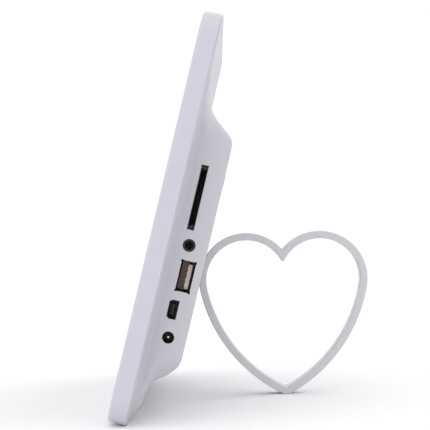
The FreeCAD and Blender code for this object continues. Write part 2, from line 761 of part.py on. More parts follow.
def make_main_board():
    """Main circuit board, its four screws and the display's ribbon cable."""
    board = Piece("main_board")
    edge = f"({PORT_FACE} - 1.2)"
    board.box(
        ("dim.board_left", edge), ("dim.board_front", BOARD_BACK), ("dim.board_low", "dim.board_high")
    )
    screws = Piece("board_screws")
    for across, up in board_screw_places():
        board.cylinder((across, f"dim.board_front - {THROUGH}", up), "1.3", "6", cut=True)
        screws.cylinder((across, "dim.board_front - 0.9", up), "2", "0.9")
        screws.cylinder((across, "dim.board_front - 0.9", up), "dim.screw_shank", "7.5")

    ribbon = Piece("lcd_ribbon")
    left, right = "dim.board_left + 6", "dim.board_left + 26"
    fold = "(dim.board_low + 40)"
    ribbon.box((left, right), (MODULE_BACK, f"{MODULE_BACK} + 0.3"), (fold, f"{fold} + 22"))
    ribbon.box((left, right), (MODULE_BACK, "dim.board_front"), (fold, f"{fold} + 0.3"))
    ribbon.box(
        (left, right), ("dim.board_front - 0.3", "dim.board_front"), (f"{fold} - 14", f"{fold} + 0.3")
    )
    return [board, screws, ribbon]


def make_chips():
    """The larger components on the back of the main board."""
    low_x, low_z = "dim.board_left", "dim.board_low"
    processor = Piece("main_processor")
    processor.box(
        (f"{low_x} + 4.5", f"{low_x} + 22.5"),
        (BOARD_BACK, f"{BOARD_BACK} + 1.5"),
        (f"{low_z} + 47", f"{low_z} + 65"),
    )
    memory = Piece("memory_chips")
    for left in (4, 20):
        memory.box(
            (f"{low_x} + {left}", f"{low_x} + {left + 13}"), (BOARD_BACK, f"{BOARD_BACK} + 1.1"),
            (f"{low_z} + 36.5", f"{low_z} + 44.5"),
        )
    capacitors = Piece("capacitors")
    for up in (21, 29):
        capacitors.cylinder((f"{low_x} + 36.5", BOARD_BACK, f"{low_z} + {up}"), "3.1", "5.8")
    inductor = Piece("power_inductor")
    inductor.box(
        (f"{low_x} + 18", f"{low_x} + 25"),
        (BOARD_BACK, f"{BOARD_BACK} + 3.4"),
        (f"{low_z} + 2", f"{low_z} + 9"),
    )
    doc.recompute()
    inductor.fillet("1.2", lambda edge: edge.BoundBox.YLength > 3)

    holder = Piece("cell_holder")
    centre = (f"{low_x} + 15", BOARD_BACK, f"{low_z} + 23")
    holder.cylinder(centre, "11.4", "3.2")
    holder.cylinder((centre[0], f"{BOARD_BACK} + 0.8", centre[2]), "10.2", "6", cut=True)
    cell = Piece("clock_cell")
    cell.cylinder((centre[0], f"{BOARD_BACK} + 0.8", centre[2]), "10", "3.2")
    doc.recompute()
    cell.fillet("0.4", lambda edge: edge.BoundBox.YLength < 0.01 and edge.Length > 20)
    return [processor, memory, capacitors, inductor, holder, cell]


def make_card_slot():
    """Memory card socket: plastic body, steel shell over it and nine contact blades."""
    half = "(dim.card_width / 2 - 0.35)"
    inner = "(dim.card_width / 2 - 1.6)"
    deep = f"({PORT_FACE} - 29)"
    body = Piece("card_slot_body")
    body.box((deep, PORT_FACE), (BOARD_BACK, f"{BOARD_BACK} + 3.1"), span("dim.card_level", half))
    body.box(
        (f"{deep} + 3", f"{PORT_FACE} + {THROUGH}"), (f"{BOARD_BACK} + 0.6", f"{BOARD_BACK} + 4"),
        span("dim.card_level", inner), cut=True,
    )
    shell = Piece("card_slot_shell")
    shell.box(
        (deep, PORT_FACE), (f"{BOARD_BACK} + 3.1", f"{BOARD_BACK} + 3.35"), span("dim.card_level", half)
    )
    contacts = Piece("card_contacts")
    for index in range(9):
        up = f"dim.card_level + {2.5 * (index - 4)}"
        contacts.box(
            (f"{deep} + 3", f"{deep} + 9"), (f"{BOARD_BACK} + 0.6", f"{BOARD_BACK} + 0.85"), span(up, "0.5")
        )
    return [body, shell, contacts]


def make_audio_jack():
    """Headphone socket: black block and nose with a 3.5 mm plug bore."""
    body = Piece("audio_jack_body")
    body.box(
        (f"{PORT_FACE} - 12", PORT_FACE),
        (BOARD_BACK, "2 * dim.audio_depth - 14"),
        span("dim.audio_level", "3.1"),
    )
    nose = f"{FACET} - dim.port_gap"
    body.cylinder(
        (f"{PORT_FACE} - 1", "dim.audio_depth", "dim.audio_level"), "dim.audio_hole - 0.1",
        f"({nose}) - ({PORT_FACE}) + 1", TOWARDS_PORTS,
    )
    body.cylinder(
        (f"{PORT_FACE} - 11", "dim.audio_depth", "dim.audio_level"),
        "dim.audio_bore",
        "20",
        TOWARDS_PORTS,
        cut=True,
    )
    return [body]


def add_legs(shell, length, depth, up, half_z):
    """Two folded side tabs that stand a connector's shell on the board."""
    for side in (-1, 1):
        outside = f"{up} + {side} * ({half_z})"
        inside = f"{up} + {side} * (({half_z}) - 0.3)"
        levels = (inside, outside) if side > 0 else (outside, inside)
        shell.box((f"{PORT_FACE} - {length} + 3", f"{PORT_FACE} - 4"), (BOARD_BACK, depth), levels)


def make_usb():
    """Full-size USB socket: steel shell, plastic tongue and four contact blades."""
    half_n = "dim.usb_height / 2 - 0.25"
    half_z = "dim.usb_width / 2 - 0.15"
    shell = Piece("usb_shell")
    shell.box(
        (f"{PORT_FACE} - 13.5", PORT_FACE), span("dim.usb_depth", half_n), span("dim.usb_level", half_z)
    )
    add_legs(shell, 13.5, "dim.usb_depth", "dim.usb_level", half_z)
    back = f"({PORT_FACE} - 13.2)"
    shell.box(
        (back, f"{PORT_FACE} + {THROUGH}"), span("dim.usb_depth", f"({half_n}) - 0.3"),
        span("dim.usb_level", f"({half_z}) - 0.3"), cut=True,
    )
    tongue = Piece("usb_tongue")
    tongue.box(
        (back, f"{back} + 2.5"),
        span("dim.usb_depth", f"({half_n}) - 0.3"),
        span("dim.usb_level", f"({half_z}) - 0.3"),
    )
    tongue_n = ("dim.usb_depth + 0.35", "dim.usb_depth + 1.95")
    tongue.box((back, f"{PORT_FACE} - 1.1"), tongue_n, span("dim.usb_level", "5.3"))
    contacts = Piece("usb_contacts")
    for index in range(4):
        up = f"dim.usb_level + {2.4 * (index - 1.5)}"
        contacts.box(
            (f"{back} + 3", f"{PORT_FACE} - 1.6"),
            ("dim.usb_depth + 0.15", "dim.usb_depth + 0.35"),
            span(up, "0.5"),
        )
    return [shell, tongue, contacts]


def make_mini_usb():
    """Mini USB socket: steel shell and black tongue."""
    half_n = "dim.mini_height / 2 - 0.1"
    half_z = "dim.mini_width / 2 - 0.1"
    shell = Piece("mini_usb_shell")
    start = f"({PORT_FACE} - 9)"
    shell.pad(mini_outline(shell, start, 0.1), "9")
    add_legs(shell, 9, "dim.mini_depth", "dim.mini_level", half_z)
    back = f"({PORT_FACE} - 8.7)"
    shell.pocket(mini_outline(shell, back, 0.4), "10", towards_front=True)
    tongue = Piece("mini_usb_tongue")
    tongue.box(
        (back, f"{back} + 2"), ("dim.mini_depth - 0.4", f"dim.mini_depth + ({half_n}) - 0.3"),
        span("dim.mini_level", f"({half_z}) - 0.3"),
    )
    tongue.box((back, f"{PORT_FACE} - 0.8"), span("dim.mini_depth", "0.45"), span("dim.mini_level", "2.2"))
    return [shell, tongue]


def make_power_jack():
    """Low-voltage power socket: black barrel with a bright centre pin."""
    body = Piece("power_jack_body")
    body.box(
        (f"{PORT_FACE} - 12", PORT_FACE),
        (BOARD_BACK, "2 * dim.power_depth - 14"),
        span("dim.power_level", "4.2"),
    )
    body.cylinder(
        (f"{PORT_FACE} - 9", "dim.power_depth", "dim.power_level"),
        "dim.power_hole - 0.1",
        "20",
        TOWARDS_PORTS,
        cut=True,
    )
    pin = Piece("power_jack_pin")
    pin.cylinder(
        (f"{PORT_FACE} - 9", "dim.power_depth", "dim.power_level"), "dim.power_pin", "8.6", TOWARDS_PORTS
    )
    doc.recompute()
    tip = value(f"{PORT_FACE} - 0.4")
    pin.fillet("0.4", flat_at(tip, "X"))
    return [body, pin]


# ---------------------------------------------------------- loudspeakers, keys

def make_speakers():
    """Two loudspeakers: a steel basket with a paper cone in each."""
    made = []
    for name, across in speaker_places():
        basket = Piece(f"speaker_{name}")
        basket.cylinder(
            (across, SPEAKER_FRONT, "dim.speaker_level"), "dim.speaker_radius", "dim.speaker_depth"
        )
        basket.cylinder(
            (across, f"{SPEAKER_BACK} - 2.2", "dim.speaker_level"),
            "dim.speaker_radius - 1.4",
            "5",
            cut=True,
        )
        cone = Piece(f"speaker_cone_{name}")
        cone.feature(
            "PartDesign::AdditiveCone",
            {"Placement": FreeCAD.Placement(FreeCAD.Vector(), TOWARDS_BACK)},
            {
                "Radius1": "4", "Radius2": "dim.speaker_radius - 1.6", "Height": "1.4",
                "Placement.Base.x": across, "Placement.Base.y": f"{SPEAKER_BACK} - 2.2",
                "Placement.Base.z": "dim.speaker_level",
            },
        )
        made += [basket, cone]
    return made


def make_keys():
    """Seven control keys with their switch board, switches and two screws."""
    made = []
    for name, across in key_places():
        key = Piece(f"key_{name}")
        key.box(
            span(across, "dim.key_length / 2"),
            (FLANGE_FRONT, KEY_BACK),
            span("dim.key_level", "dim.key_height / 2"),
        )
        doc.recompute()
        key.fillet("0.25", flat_at(value(KEY_BACK), "Y"))
        key.box(
            span(across, "dim.key_length / 2 + 1"), (FLANGE_FRONT, FLANGE_BACK),
            span("dim.key_level", "dim.key_height / 2 + 1"),
        )
        made.append(key)
    board = Piece("key_board")
    board.box(
        span("0", "3.5 * dim.key_pitch + 6"),
        (KEY_BOARD_FRONT, KEY_BOARD_BACK),
        span("dim.key_level", "4.5"),
    )
    screws = Piece("key_board_screws")
    for across in key_screw_places():
        board.cylinder((across, f"{KEY_BOARD_FRONT} - {THROUGH}", "dim.key_level"), "1.15", "4", cut=True)
        screws.cylinder((across, f"{KEY_BOARD_FRONT} - 0.8", "dim.key_level"), "1.9", "0.8")
        screws.cylinder((across, f"{KEY_BOARD_FRONT} - 0.8", "dim.key_level"), "0.85", "4.2")
    switches = Piece("key_switches")
    for name, across in key_places():
        switches.box(
            span(across, "2.4"), (KEY_BOARD_BACK, f"{SWITCH_TOP} - 0.8"), span("dim.key_level", "2.4")
        )
        switches.cylinder((across, f"{SWITCH_TOP} - 0.9", "dim.key_level"), "1.2", "0.9")
    return made + [board, screws, switches]


# ------------------------------------------------------------------ heart stand

def heart_curve(sketch, inset):
    """Draw the heart, moved in by an inset: two lobes, two long limbs and a cleft."""
    lobe = value("dim.lobe_radius") - inset
    limb = value("dim.limb_radius") - inset
    offset = value("dim.lobe_offset")
    centre = heart_centre_height()
    swing = math.radians(value("dim.limb_start"))
    reach = value("dim.limb_radius - dim.lobe_radius")
    cleft = FreeCAD.Vector(0, centre + math.sqrt(lobe ** 2 - offset ** 2), 0)
    cleft_turn = math.atan2(cleft.y - centre, -offset)
    joins = []
    for side in (1, -1):
        hub = FreeCAD.Vector(side * offset, centre, 0)
        limb_hub = hub + FreeCAD.Vector(-side * math.cos(swing), math.sin(swing), 0) * reach
        join = limb_hub + FreeCAD.Vector(side * math.cos(swing), -math.sin(swing), 0) * limb
        halfway = (cleft_turn - swing) / 2
        crown = hub + FreeCAD.Vector(side * math.cos(halfway), math.sin(halfway), 0) * lobe
        end = limb_end(limb_hub, limb, side, inset)
        low_turn = math.atan2(end.y - limb_hub.y, side * (end.x - limb_hub.x))
        bend = (low_turn - swing) / 2
        waist = limb_hub + FreeCAD.Vector(side * math.cos(bend), math.sin(bend), 0) * limb
        sketch.addGeometry(Part.Arc(cleft, crown, join), False)
        sketch.addGeometry(Part.Arc(join, waist, end), False)
        joins.append(end)
    if (joins[0] - joins[1]).Length > 1e-6:
        sketch.addGeometry(Part.LineSegment(joins[0], joins[1]), False)


def limb_end(limb_hub, limb, side, inset):
    """Lower end of a limb: on the flat tip outside, on the heart's axis inside."""
    if inset:
        return FreeCAD.Vector(0, limb_hub.y - math.sqrt(limb ** 2 - limb_hub.x ** 2), 0)
    return FreeCAD.Vector(side * value("dim.tip_flat") / 2, 0, 0)


def across_band(edge):
    """Whether an edge runs straight across the band, as at the cleft and the tip."""
    return edge.BoundBox.XLength > 1 and edge.BoundBox.YLength < 0.01


def make_heart_stand():
    """Heart-shaped ring that stands upright behind the frame, with the plug for its socket."""
    piece = Piece("heart_stand", UPRIGHT)
    for inset in (0, value("dim.band")):
        sketch = piece.sketch("YZ_Plane", "0")
        heart_curve(sketch, inset)
        if inset == 0:
            piece.pad(sketch, "dim.band_depth", both_ways=True)
            doc.recompute()
        else:
            settings = {"Profile": sketch, "Midplane": True}
            piece.feature("PartDesign::Pocket", settings, {"Length": "dim.band_depth + 2"})
    doc.recompute()
    half = value("dim.band_depth / 2")
    piece.fillet("dim.corner_ease", lambda edge: across_band(edge) and abs(edge.BoundBox.YMin) < 0.01)
    doc.recompute()
    piece.fillet("dim.corner_ease", lambda edge: across_band(edge) and edge.BoundBox.ZMax < 0.01)
    doc.recompute()
    piece.fillet("dim.band_round", lambda edge: flat_at(half, "X")(edge) or flat_at(-half, "X")(edge))
    seat = FreeCAD.Vector(
        -half, value("dim.cover_depth - dim.plug_depth") + 0.05, PLUG_LEVEL - value("dim.plug_height / 2")
    )
    plug = piece.feature(
        "PartDesign::AdditiveBox", {},
        {"Length": "dim.band_depth", "Width": "dim.plug_depth - 0.35", "Height": "dim.plug_height"},
    )
    plug.Placement = UPRIGHT.inverse().multiply(LEAN).multiply(FreeCAD.Placement(seat, FreeCAD.Rotation()))
    return piece


# ------------------------------------------------------------------------ build

def check(pieces):
    """Stop unless every object computed and every piece is a valid solid."""
    for item in doc.Objects:
        if "Invalid" in item.State or "Error" in item.State:
            raise RuntimeError(f"{item.Label} is in state {item.State}")
    for piece in pieces:
        shape = piece.body.Shape
        if shape.isNull() or not shape.isValid() or not shape.Solids:
            raise RuntimeError(f"{piece.body.Label} has no valid solid")


def main():
    """Build every piece, check it and write one STEP file for each."""
    pieces = [make_front_bezel()]
    pieces += make_display()
    pieces.append(make_rear_cover())
    for maker in (make_main_board, make_chips, make_card_slot, make_audio_jack, make_usb, make_mini_usb):
        pieces += maker()
    pieces += make_power_jack()
    pieces += make_speakers()
    pieces += make_keys()
    pieces.append(make_heart_stand())
    doc.recompute()
    check(pieces)
    os.makedirs("parts", exist_ok=True)
    for piece in pieces:
        piece.body.Shape.exportStep(f"parts/{piece.body.Label}.step")
        print(
            f"{piece.body.Label}: {len(piece.body.Shape.Solids)} solids, {piece.body.Shape.Volume:.1f} mm3"
        )


main()
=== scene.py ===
"""Looks of the leaning digital photo frame and its heart-shaped stand, as a Blender add-on."""

import json
import math

import bmesh
import bpy
import numpy as np
from mathutils import Matrix, Vector


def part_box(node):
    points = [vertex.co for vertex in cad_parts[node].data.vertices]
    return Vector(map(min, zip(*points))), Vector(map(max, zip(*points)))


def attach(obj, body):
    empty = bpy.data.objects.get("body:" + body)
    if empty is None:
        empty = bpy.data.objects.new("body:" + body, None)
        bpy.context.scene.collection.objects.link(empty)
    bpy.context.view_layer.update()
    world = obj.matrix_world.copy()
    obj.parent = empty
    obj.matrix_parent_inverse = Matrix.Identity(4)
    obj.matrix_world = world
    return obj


bl_info = {
    "name": "Photo frame finishes",
    "version": (1, 0, 0),
    "blender": (4, 5, 0),
    "location": "View3D > Sidebar > Photo frame",
    "description": "Materials, small parts, light and camera for a photo frame on a heart-shaped stand",
    "category": "Object",
}

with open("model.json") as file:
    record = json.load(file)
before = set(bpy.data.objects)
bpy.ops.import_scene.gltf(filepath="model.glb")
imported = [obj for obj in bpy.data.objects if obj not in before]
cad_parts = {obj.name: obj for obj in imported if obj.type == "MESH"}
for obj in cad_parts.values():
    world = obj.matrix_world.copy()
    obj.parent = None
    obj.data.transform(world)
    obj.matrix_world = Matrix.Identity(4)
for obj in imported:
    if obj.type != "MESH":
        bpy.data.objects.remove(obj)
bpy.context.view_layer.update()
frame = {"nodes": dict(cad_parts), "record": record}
NODES = frame["nodes"]
MM = 0.001

# Range of a noise texture that is spread over a range of values
NOISE_LOW, NOISE_HIGH = 0.3, 0.7

# Sizes in millimetres of the small pieces added to the CAD parts
SYMBOL_SINK, SYMBOL_STAND, SYMBOL_EASE = 0.08, 0.03, 0.01
ARROW_SIZE = 1.35
LATCH_FROM_END, LATCH_FROM_FACE, LATCH_DEPTH = 1.45, 1.2, 1.75
LATCH_LENGTH, LATCH_BOW, LATCH_HALF_WIDTH, LATCH_THICKNESS = 5, 0.45, 0.75, 0.2
SPRING_START, SPRING_LENGTH, SPRING_LEVEL, SPRING_BULGE = 0.5, 6, 1.62, 0.5
SPRING_HALF_WIDTH, SPRING_THICKNESS = 0.5, 0.15
ACTIVE_HALF = (81.0, 60.9)
BORDER_SINK, BORDER_STAND = 0.03, 0.01
GASKET_WIDTH, GASKET_FRONT, GASKET_BACK = 3, 2.005, 0.035
CLOTH_GAP, CLOTH_EDGE, CLOTH_SAG, CLOTH_THICKNESS = 0.06, 0.4, 0.3, 0.05
CLOTH_RINGS, CLOTH_SIDES = 10, 48

# Floor sweep, lights and camera, in metres and watts
SWEEP_RISE, SWEEP_FLAT_RINGS, SWEEP_RISE_RINGS, SWEEP_SIDES = 1.5, 12, 24, 96
HUB_RADIUS = 0.02
SKY_STRENGTH = 1.15
LIGHT_TARGET = (0, 0, 0.09)
LIGHTS = (
    ("key_box", (0.9, 0.5, 1.3), 0.9, 0.8),
    ("fill_box", (0.8, -1.2, 0.6), 0.9, 1.0),
    ("back_box", (-0.8, 0.9, 0.9), 0.8, 1.0),
)
LENS = 120.44
CLIP_START = 0.01
CAMERA_DEPTH, CAMERA_HEIGHT = 0.04183, 0.0873
AIM_DEPTH, AIM_HEIGHT = 0.04142, 0.08823


# ---------------------------------------------------------------- settings

def linear(hex_colour):
    """A colour written as sRGB hex, such as "e8e8ec", as linear red, green, blue and alpha."""
    channels = [int(hex_colour[i:i + 2], 16) / 255 for i in (0, 2, 4)]
    return [c / 12.92 if c <= 0.04045 else ((c + 0.055) / 1.055) ** 2.4 for c in channels] + [1.0]


def colour(name, description, hex_colour):
    """A colour property that a user can change, with its default written as sRGB hex."""
    return bpy.props.FloatVectorProperty(
        name=name, description=description, subtype="COLOR", size=4, min=0, max=1, default=linear(hex_colour)
    )


class PhotoFrameFinish(bpy.types.PropertyGroup):
    """Colours and surface textures of the frame's pieces."""
    # The rim's colour is brighter and bluer than the cover's: painted cool light from the front, not a
    # different white.
    rim: colour("Rim", "White ABS of the rim, with a cool cast", "c5c5d0")
    cover: colour("Cover", "White ABS of the rear cover", "bcbcc3")
    stand: colour("Stand", "White ABS of the heart stand", "c9c9cd")
    keys: colour("Keys", "Pale grey ABS of the control keys", "b9b9bf")
    grain: bpy.props.FloatProperty(
        name="Mould grain", description="Width of the spark-eroded grain of the shell",
        default=0.35 * MM, min=0.05 * MM, subtype="DISTANCE", unit="LENGTH",
    )
    glass: colour("Display", "Black of the switched-off display", "0b0c10")
    board: colour("Board", "Green solder mask", "1d5a34")


class PhotoFrameStage(bpy.types.PropertyGroup):
    """Sizes and strengths of the floor, lights and camera."""
    floor: colour("Floor", "Matt paper sweep", "f7f7f8")
    floor_radius: bpy.props.FloatProperty(
        name="Floor radius", description="Radius of the flat part of the sweep",
        default=1.6, min=0.5, subtype="DISTANCE", unit="LENGTH",
    )
    distance: bpy.props.FloatProperty(
        name="Camera distance", description="Distance of the camera from the side of the rim",
        default=0.6, min=0.2, subtype="DISTANCE", unit="LENGTH",
    )
    roll: bpy.props.FloatProperty(
        name="Camera roll", description="Turn of the camera about its view line",
        default=math.radians(1.72), subtype="ANGLE", unit="ROTATION",
    )


def finish_settings():
    """The finish properties held by the scene."""
    return bpy.context.scene.photo_frame_finish


def stage_settings():
    """The stage properties held by the scene."""
    return bpy.context.scene.photo_frame_stage


# ------------------------------------------------------------- node helpers

def node(tree, kind, settings=None, inputs=None, links=None):
    """Add one shader node, set its properties and sockets, and link sockets to other nodes' outputs."""
    made = tree.nodes.new(kind)
    for key, setting in (settings or {}).items():
        setattr(made, key, setting)
    for socket, number in (inputs or {}).items():
        made.inputs[socket].default_value = number
    for socket, source in (links or {}).items():
        tree.links.new(source, made.inputs[socket])
    return made


def new_material(name, **sockets):
    """An empty material with one Principled shader whose sockets are set to constants."""
    made = bpy.data.materials.new(name)
    made.use_nodes = True
    made.node_tree.nodes.clear()
    shader = node(made.node_tree, "ShaderNodeBsdfPrincipled")
    for socket, number in sockets.items():
        shader.inputs[socket.replace("_", " ")].default_value = number
    node(made.node_tree, "ShaderNodeOutputMaterial", links={"Surface": shader.outputs["BSDF"]})
    return made, made.node_tree, shader


def object_noise(tree, size, detail=2.0):
    """Noise of a real size in metres, on Object coordinates."""
    place = node(tree, "ShaderNodeTexCoord")
    return node(
        tree, "ShaderNodeTexNoise", inputs={"Scale": 1 / size, "Detail": detail},
        links={"Vector": place.outputs["Object"]},
    )


def bump(tree, shader, height, distance, strength=1.0):
    """Raise the surface by a texture, at most a distance in metres."""
    made = node(
        tree, "ShaderNodeBump", inputs={"Strength": strength, "Distance": distance}, links={"Height": height},
    )
    tree.links.new(made.outputs["Normal"], shader.inputs["Normal"])


def vary(tree, source, low, high):
    """Spread a 0 to 1 texture over a range of values."""
    made = node(
        tree, "ShaderNodeMapRange",
        inputs={"From Min": NOISE_LOW, "From Max": NOISE_HIGH, "To Min": low, "To Max": high},
        links={"Value": source},
    )
    return made.outputs["Result"]


def tint(tree, source, first, second):
    """Mix two colours by a texture."""
    made = node(tree, "ShaderNodeMix", {"data_type": "RGBA"}, links={"Factor": source})
    made.inputs["A"].default_value = first
    made.inputs["B"].default_value = second
    return made.outputs["Result"]


def base_mix(tree, shader, source, first, second):
    """Colour a shader by two colours mixed by a texture."""
    tree.links.new(tint(tree, source, first, second), shader.inputs["Base Color"])


def shade(base, factor):
    """A colour made darker or lighter by a factor."""
    return [min(1.0, channel * factor) for channel in base[:3]] + [1.0]


# ----------------------------------------------------------------- materials

def moulded_abs(name, base, roughness, grain, depth):
    """Moulded ABS: a faint cloud of colour, patches a little glossier than others, and a grain."""
    made, tree, shader = new_material(name, IOR=1.53, Roughness=roughness)
    cloud = object_noise(tree, 45 * MM, 3.0)
    base_mix(tree, shader, cloud.outputs["Fac"], shade(base, 0.98), shade(base, 1.02))
    smear = object_noise(tree, 14 * MM, 4.0)
    gloss = vary(tree, smear.outputs["Fac"], roughness * 0.85, roughness * 1.15)
    tree.links.new(gloss, shader.inputs["Roughness"])
    texture = object_noise(tree, grain)
    bump(tree, shader, texture.outputs["Fac"], depth, 0.35)
    return made


def abs_white_polished_painted_cool_light():
    """ABS from a polished mould: the rim's even gloss; its colour, brighter and cooler than the cover's, is
    painted cool light from the front.
    """
    # The rim colour carries painted cool light from the front.
    return moulded_abs("abs_white_polished_painted_cool_light", list(finish_settings().rim), 0.22, 6 * MM, 0.02 * MM)


def abs_white_spark_eroded():
    """ABS from a finely spark-eroded mould: the rear cover's soft sheen over a faint grain."""
    settings = finish_settings()
    return moulded_abs("abs_white_spark_eroded", list(settings.cover), 0.42, settings.grain, 0.02 * MM)


def abs_white_thick_moulded():
    """ABS in a thick moulding: the stand's gloss, with the faint waviness of sunken walls."""
    return moulded_abs("abs_white_thick_moulded", list(finish_settings().stand), 0.27, 9 * MM, 0.05 * MM)


def abs_grey_keys():
    """Moulded ABS key caps: satin, a touch greyer than the shell so that they read as keys."""
    made, tree, shader = new_material("abs_grey_keys", IOR=1.53, Roughness=0.4)
    grain = object_noise(tree, 0.3 * MM)
    base = list(finish_settings().keys)
    base_mix(tree, shader, grain.outputs["Fac"], shade(base, 0.97), base)
    bump(tree, shader, grain.outputs["Fac"], 0.02 * MM, 0.5)
    return made


def glass_black_display():
    """Glossy polariser over a switched-off display: near black, with a faint cell pattern."""
    made, tree, shader = new_material("glass_black_display", IOR=1.5, Roughness=0.06)
    cell = object_noise(tree, 0.5 * MM, 1.0)
    base = list(finish_settings().glass)
    base_mix(tree, shader, cell.outputs["Fac"], shade(base, 0.8), shade(base, 1.3))
    return made


def plated_steel(name, hex_colour, roughness, scratch):
    """Pressed steel under a thin bright plating: a metal with fine rolling scratches."""
    made, tree, shader = new_material(name, Metallic=1.0, Roughness=roughness)
    place = node(tree, "ShaderNodeTexCoord")
    stretch = node(
        tree, "ShaderNodeMapping", inputs={"Scale": (1, 1, 12)}, links={"Vector": place.outputs["Object"]},
    )
    lines = node(
        tree, "ShaderNodeTexNoise", inputs={"Scale": 1 / scratch, "Detail": 3},
        links={"Vector": stretch.outputs["Vector"]},
    )
    base = linear(hex_colour)
    base_mix(tree, shader, lines.outputs["Fac"], shade(base, 0.85), shade(base, 1.08))
    gloss = vary(tree, lines.outputs["Fac"], roughness * 0.8, roughness * 1.3)
    tree.links.new(gloss, shader.inputs["Roughness"])
    return made


def tinned_steel_pressed():
    """Tinned sheet steel of the connector shells: pale and slightly dull."""
    return plated_steel("tinned_steel_pressed", "b9b7b2", 0.32, 0.6 * MM)


def nickel_steel_painted_shade():
    """Dull nickel plating deep inside the USB socket, painted dark brown as the shade of the case."""
    # The dark brown 33231f is painted shade of the socket's unlit inside, not the plating's own colour.
    return plated_steel("nickel_steel_painted_shade", "33231f", 0.6, 0.6 * MM)


def steel_painted_shade_mini_usb():
    """Steel of the mini USB shell, painted near black as the shade inside the socket."""
    # The near black 3a3a3d is painted shade of the unlit socket, not a black plating.
    return plated_steel("steel_painted_shade_mini_usb", "3a3a3d", 0.38, 0.5 * MM)


def zinc_steel_turned():
    """Zinc-plated screw steel: cooler and a little brighter."""
    return plated_steel("zinc_steel_turned", "a9acb0", 0.28, 0.4 * MM)


def nickel_steel_drawn():
    """Nickel-plated steel of the clock cell: bright and warm."""
    return plated_steel("nickel_steel_drawn", "c9c5bb", 0.2, 0.5 * MM)


def nickel_brass_turned():
    """Nickel-plated brass of the power pin: the brightest metal on the side."""
    return plated_steel("nickel_brass_turned", "d6d2c6", 0.16, 0.3 * MM)


def gold_bronze_stamped():
    """Gold-flashed phosphor bronze contacts: warm yellow metal."""
    return plated_steel("gold_bronze_stamped", "d8b26a", 0.24, 0.3 * MM)


def bronze_shaded_stamped():
    """Phosphor bronze contacts deep in the card slot: dark brown in the shade."""
    return plated_steel("bronze_shaded_stamped", "2e261c", 0.45, 0.3 * MM)


def galvanised_tray():
    """Galvanised steel tray round the backlight: mottled grey."""
    made, tree, shader = new_material("galvanised_tray", Metallic=1.0, Roughness=0.4)
    place = node(tree, "ShaderNodeTexCoord")
    spangle = node(
        tree, "ShaderNodeTexVoronoi", inputs={"Scale": 1 / (6 * MM)},
        links={"Vector": place.outputs["Object"]},
    )
    base = linear("b4b7ba")
    base_mix(tree, shader, spangle.outputs["Distance"], shade(base, 0.86), shade(base, 1.04))
    return made


def solder_mask_board():
    """Glass-epoxy board under green solder mask: darker over the laminate, paler over the copper."""
    made, tree, shader = new_material("solder_mask_board", IOR=1.55, Roughness=0.3)
    place = node(tree, "ShaderNodeTexCoord")
    tracks = node(
        tree, "ShaderNodeTexBrick", {"offset": 0.35},
        {"Scale": 1 / (9 * MM), "Mortar Size": 0.06, "Brick Width": 0.7, "Row Height": 0.35},
        {"Vector": place.outputs["Object"]},
    )
    base = list(finish_settings().board)
    base_mix(tree, shader, tracks.outputs["Fac"], base, shade(base, 1.7))
    return made


def moulded_resin(name, hex_colour, roughness, grain):
    """Filled resin, ink or pulp from a textured mould: a dull base with a fine grain."""
    made, tree, shader = new_material(name, IOR=1.5, Roughness=roughness)
    noise = object_noise(tree, grain, 3.0)
    base = linear(hex_colour)
    base_mix(tree, shader, noise.outputs["Fac"], shade(base, 0.75), shade(base, 1.25))
    bump(tree, shader, noise.outputs["Fac"], 0.02 * MM, 0.6)
    return made


def epoxy_chip():
    """Moulded epoxy chip package: matt charcoal."""
    return moulded_resin("epoxy_chip", "2a2b2d", 0.55, 0.3 * MM)


def nylon_black_moulded():
    """Glass-filled nylon of the sockets: black with a low sheen."""
    return moulded_resin("nylon_black_moulded", "0b0b0c", 0.42, 0.4 * MM)


def polymer_ivory_moulded():
    """Natural liquid-crystal polymer of the USB tongue: warm ivory."""
    return moulded_resin("polymer_ivory_moulded", "c4b8b2", 0.4, 0.5 * MM)


def polyimide_film():
    """Polyimide ribbon: amber film over copper lines."""
    made, tree, shader = new_material("polyimide_film", IOR=1.6, Roughness=0.25)
    place = node(tree, "ShaderNodeTexCoord")
    lines = node(
        tree, "ShaderNodeTexWave", {"wave_type": "BANDS", "bands_direction": "X"}, {"Scale": 1 / (4 * MM)},
        {"Vector": place.outputs["Object"]},
    )
    base_mix(tree, shader, lines.outputs["Fac"], linear("8a4a12"), linear("c98a3a"))
    return made


def aluminium_can_drawn():
    """Drawn aluminium capacitor can: bright with a soft turned lay."""
    return plated_steel("aluminium_can_drawn", "c4c6c9", 0.3, 0.4 * MM)


def paper_cone_pressed():
    """Pressed paper-pulp loudspeaker cone: black, fibrous and quite matt."""
    return moulded_resin("paper_cone_pressed", "1c1c1d", 0.8, 0.6 * MM)


def steel_basket_pressed():
    """Blackened pressed-steel loudspeaker basket."""
    return plated_steel("steel_basket_pressed", "55575a", 0.45, 0.8 * MM)


def ink_grey_printed():
    """Pad-printed grey ink on the keys: flat, with soft uneven cover."""
    return moulded_resin("ink_grey_printed", "6a6b70", 0.5, 0.25 * MM)


def ink_black_border():
    """Screen-printed black mask round the display's picture area."""
    return moulded_resin("ink_black_border", "08080a", 0.35, 1.5 * MM)


def foam_black_gasket():
    """Die-cut closed-cell foam: dead black with open pores."""
    made, tree, shader = new_material("foam_black_gasket", IOR=1.45, Roughness=0.92)
    place = node(tree, "ShaderNodeTexCoord")
    pores = node(
        tree, "ShaderNodeTexVoronoi", inputs={"Scale": 1 / (0.5 * MM)},
        links={"Vector": place.outputs["Object"]},
    )
    base_mix(tree, shader, pores.outputs["Distance"], linear("0c0c0d"), linear("1b1b1d"))
    bump(tree, shader, pores.outputs["Distance"], 0.08 * MM)
    return made


